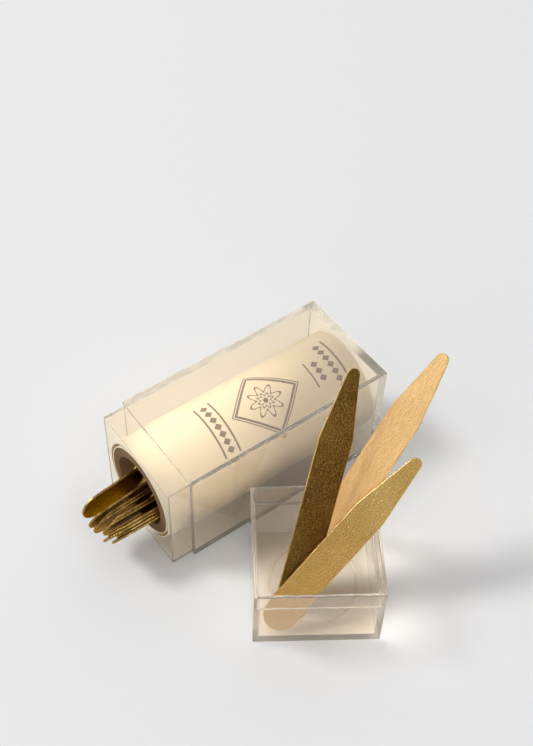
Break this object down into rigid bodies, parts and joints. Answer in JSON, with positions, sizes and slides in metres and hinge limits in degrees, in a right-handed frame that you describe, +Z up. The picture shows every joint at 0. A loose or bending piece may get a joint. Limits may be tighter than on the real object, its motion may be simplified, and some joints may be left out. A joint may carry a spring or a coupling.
{
  "type": "collar stays in a clear box",
  "caption": "Flat brass collar stays with one round and one narrowed end; some stand in a clear square cap, the rest in a card tube with a paper label inside the clear box.",
  "frame": {"origin": "centre of the clear box body's lower face, on the floor", "axes": "+X along the box from its open mouth to its closed end, +Y to the box's left, +Z up"},
  "size_m": [0.0832, 0.0792, 0.0596],
  "materials": {
    "clear_plastic": "clear, polished, moulded",
    "card": "raw spiral-wound card",
    "label_paper": "matt cream paper with a dark brown printed ornament",
    "brass": "fine brushed and tumbled"
  },
  "bodies": {
    "root": {"clear_box": "clear_plastic", "box_cap": "clear_plastic", "card_tube": "card", "paper_label": "label_paper", "cap_stay_short": "brass", "cap_stay_middle": "brass", "cap_stay_long": "brass", "tube_stay_01": "brass", "tube_stay_02": "brass", "tube_stay_03": "brass", "tube_stay_04": "brass", "tube_stay_05": "brass", "tube_stay_06": "brass", "tube_stay_07": "brass", "tube_stay_08": "brass", "tube_stay_09": "brass", "tube_stay_10": "brass", "tube_stay_11": "brass", "tube_stay_12": "brass", "tube_stay_13": "brass", "tube_stay_14": "brass", "tube_stay_15": "brass"}
  },
  "joints": []
}
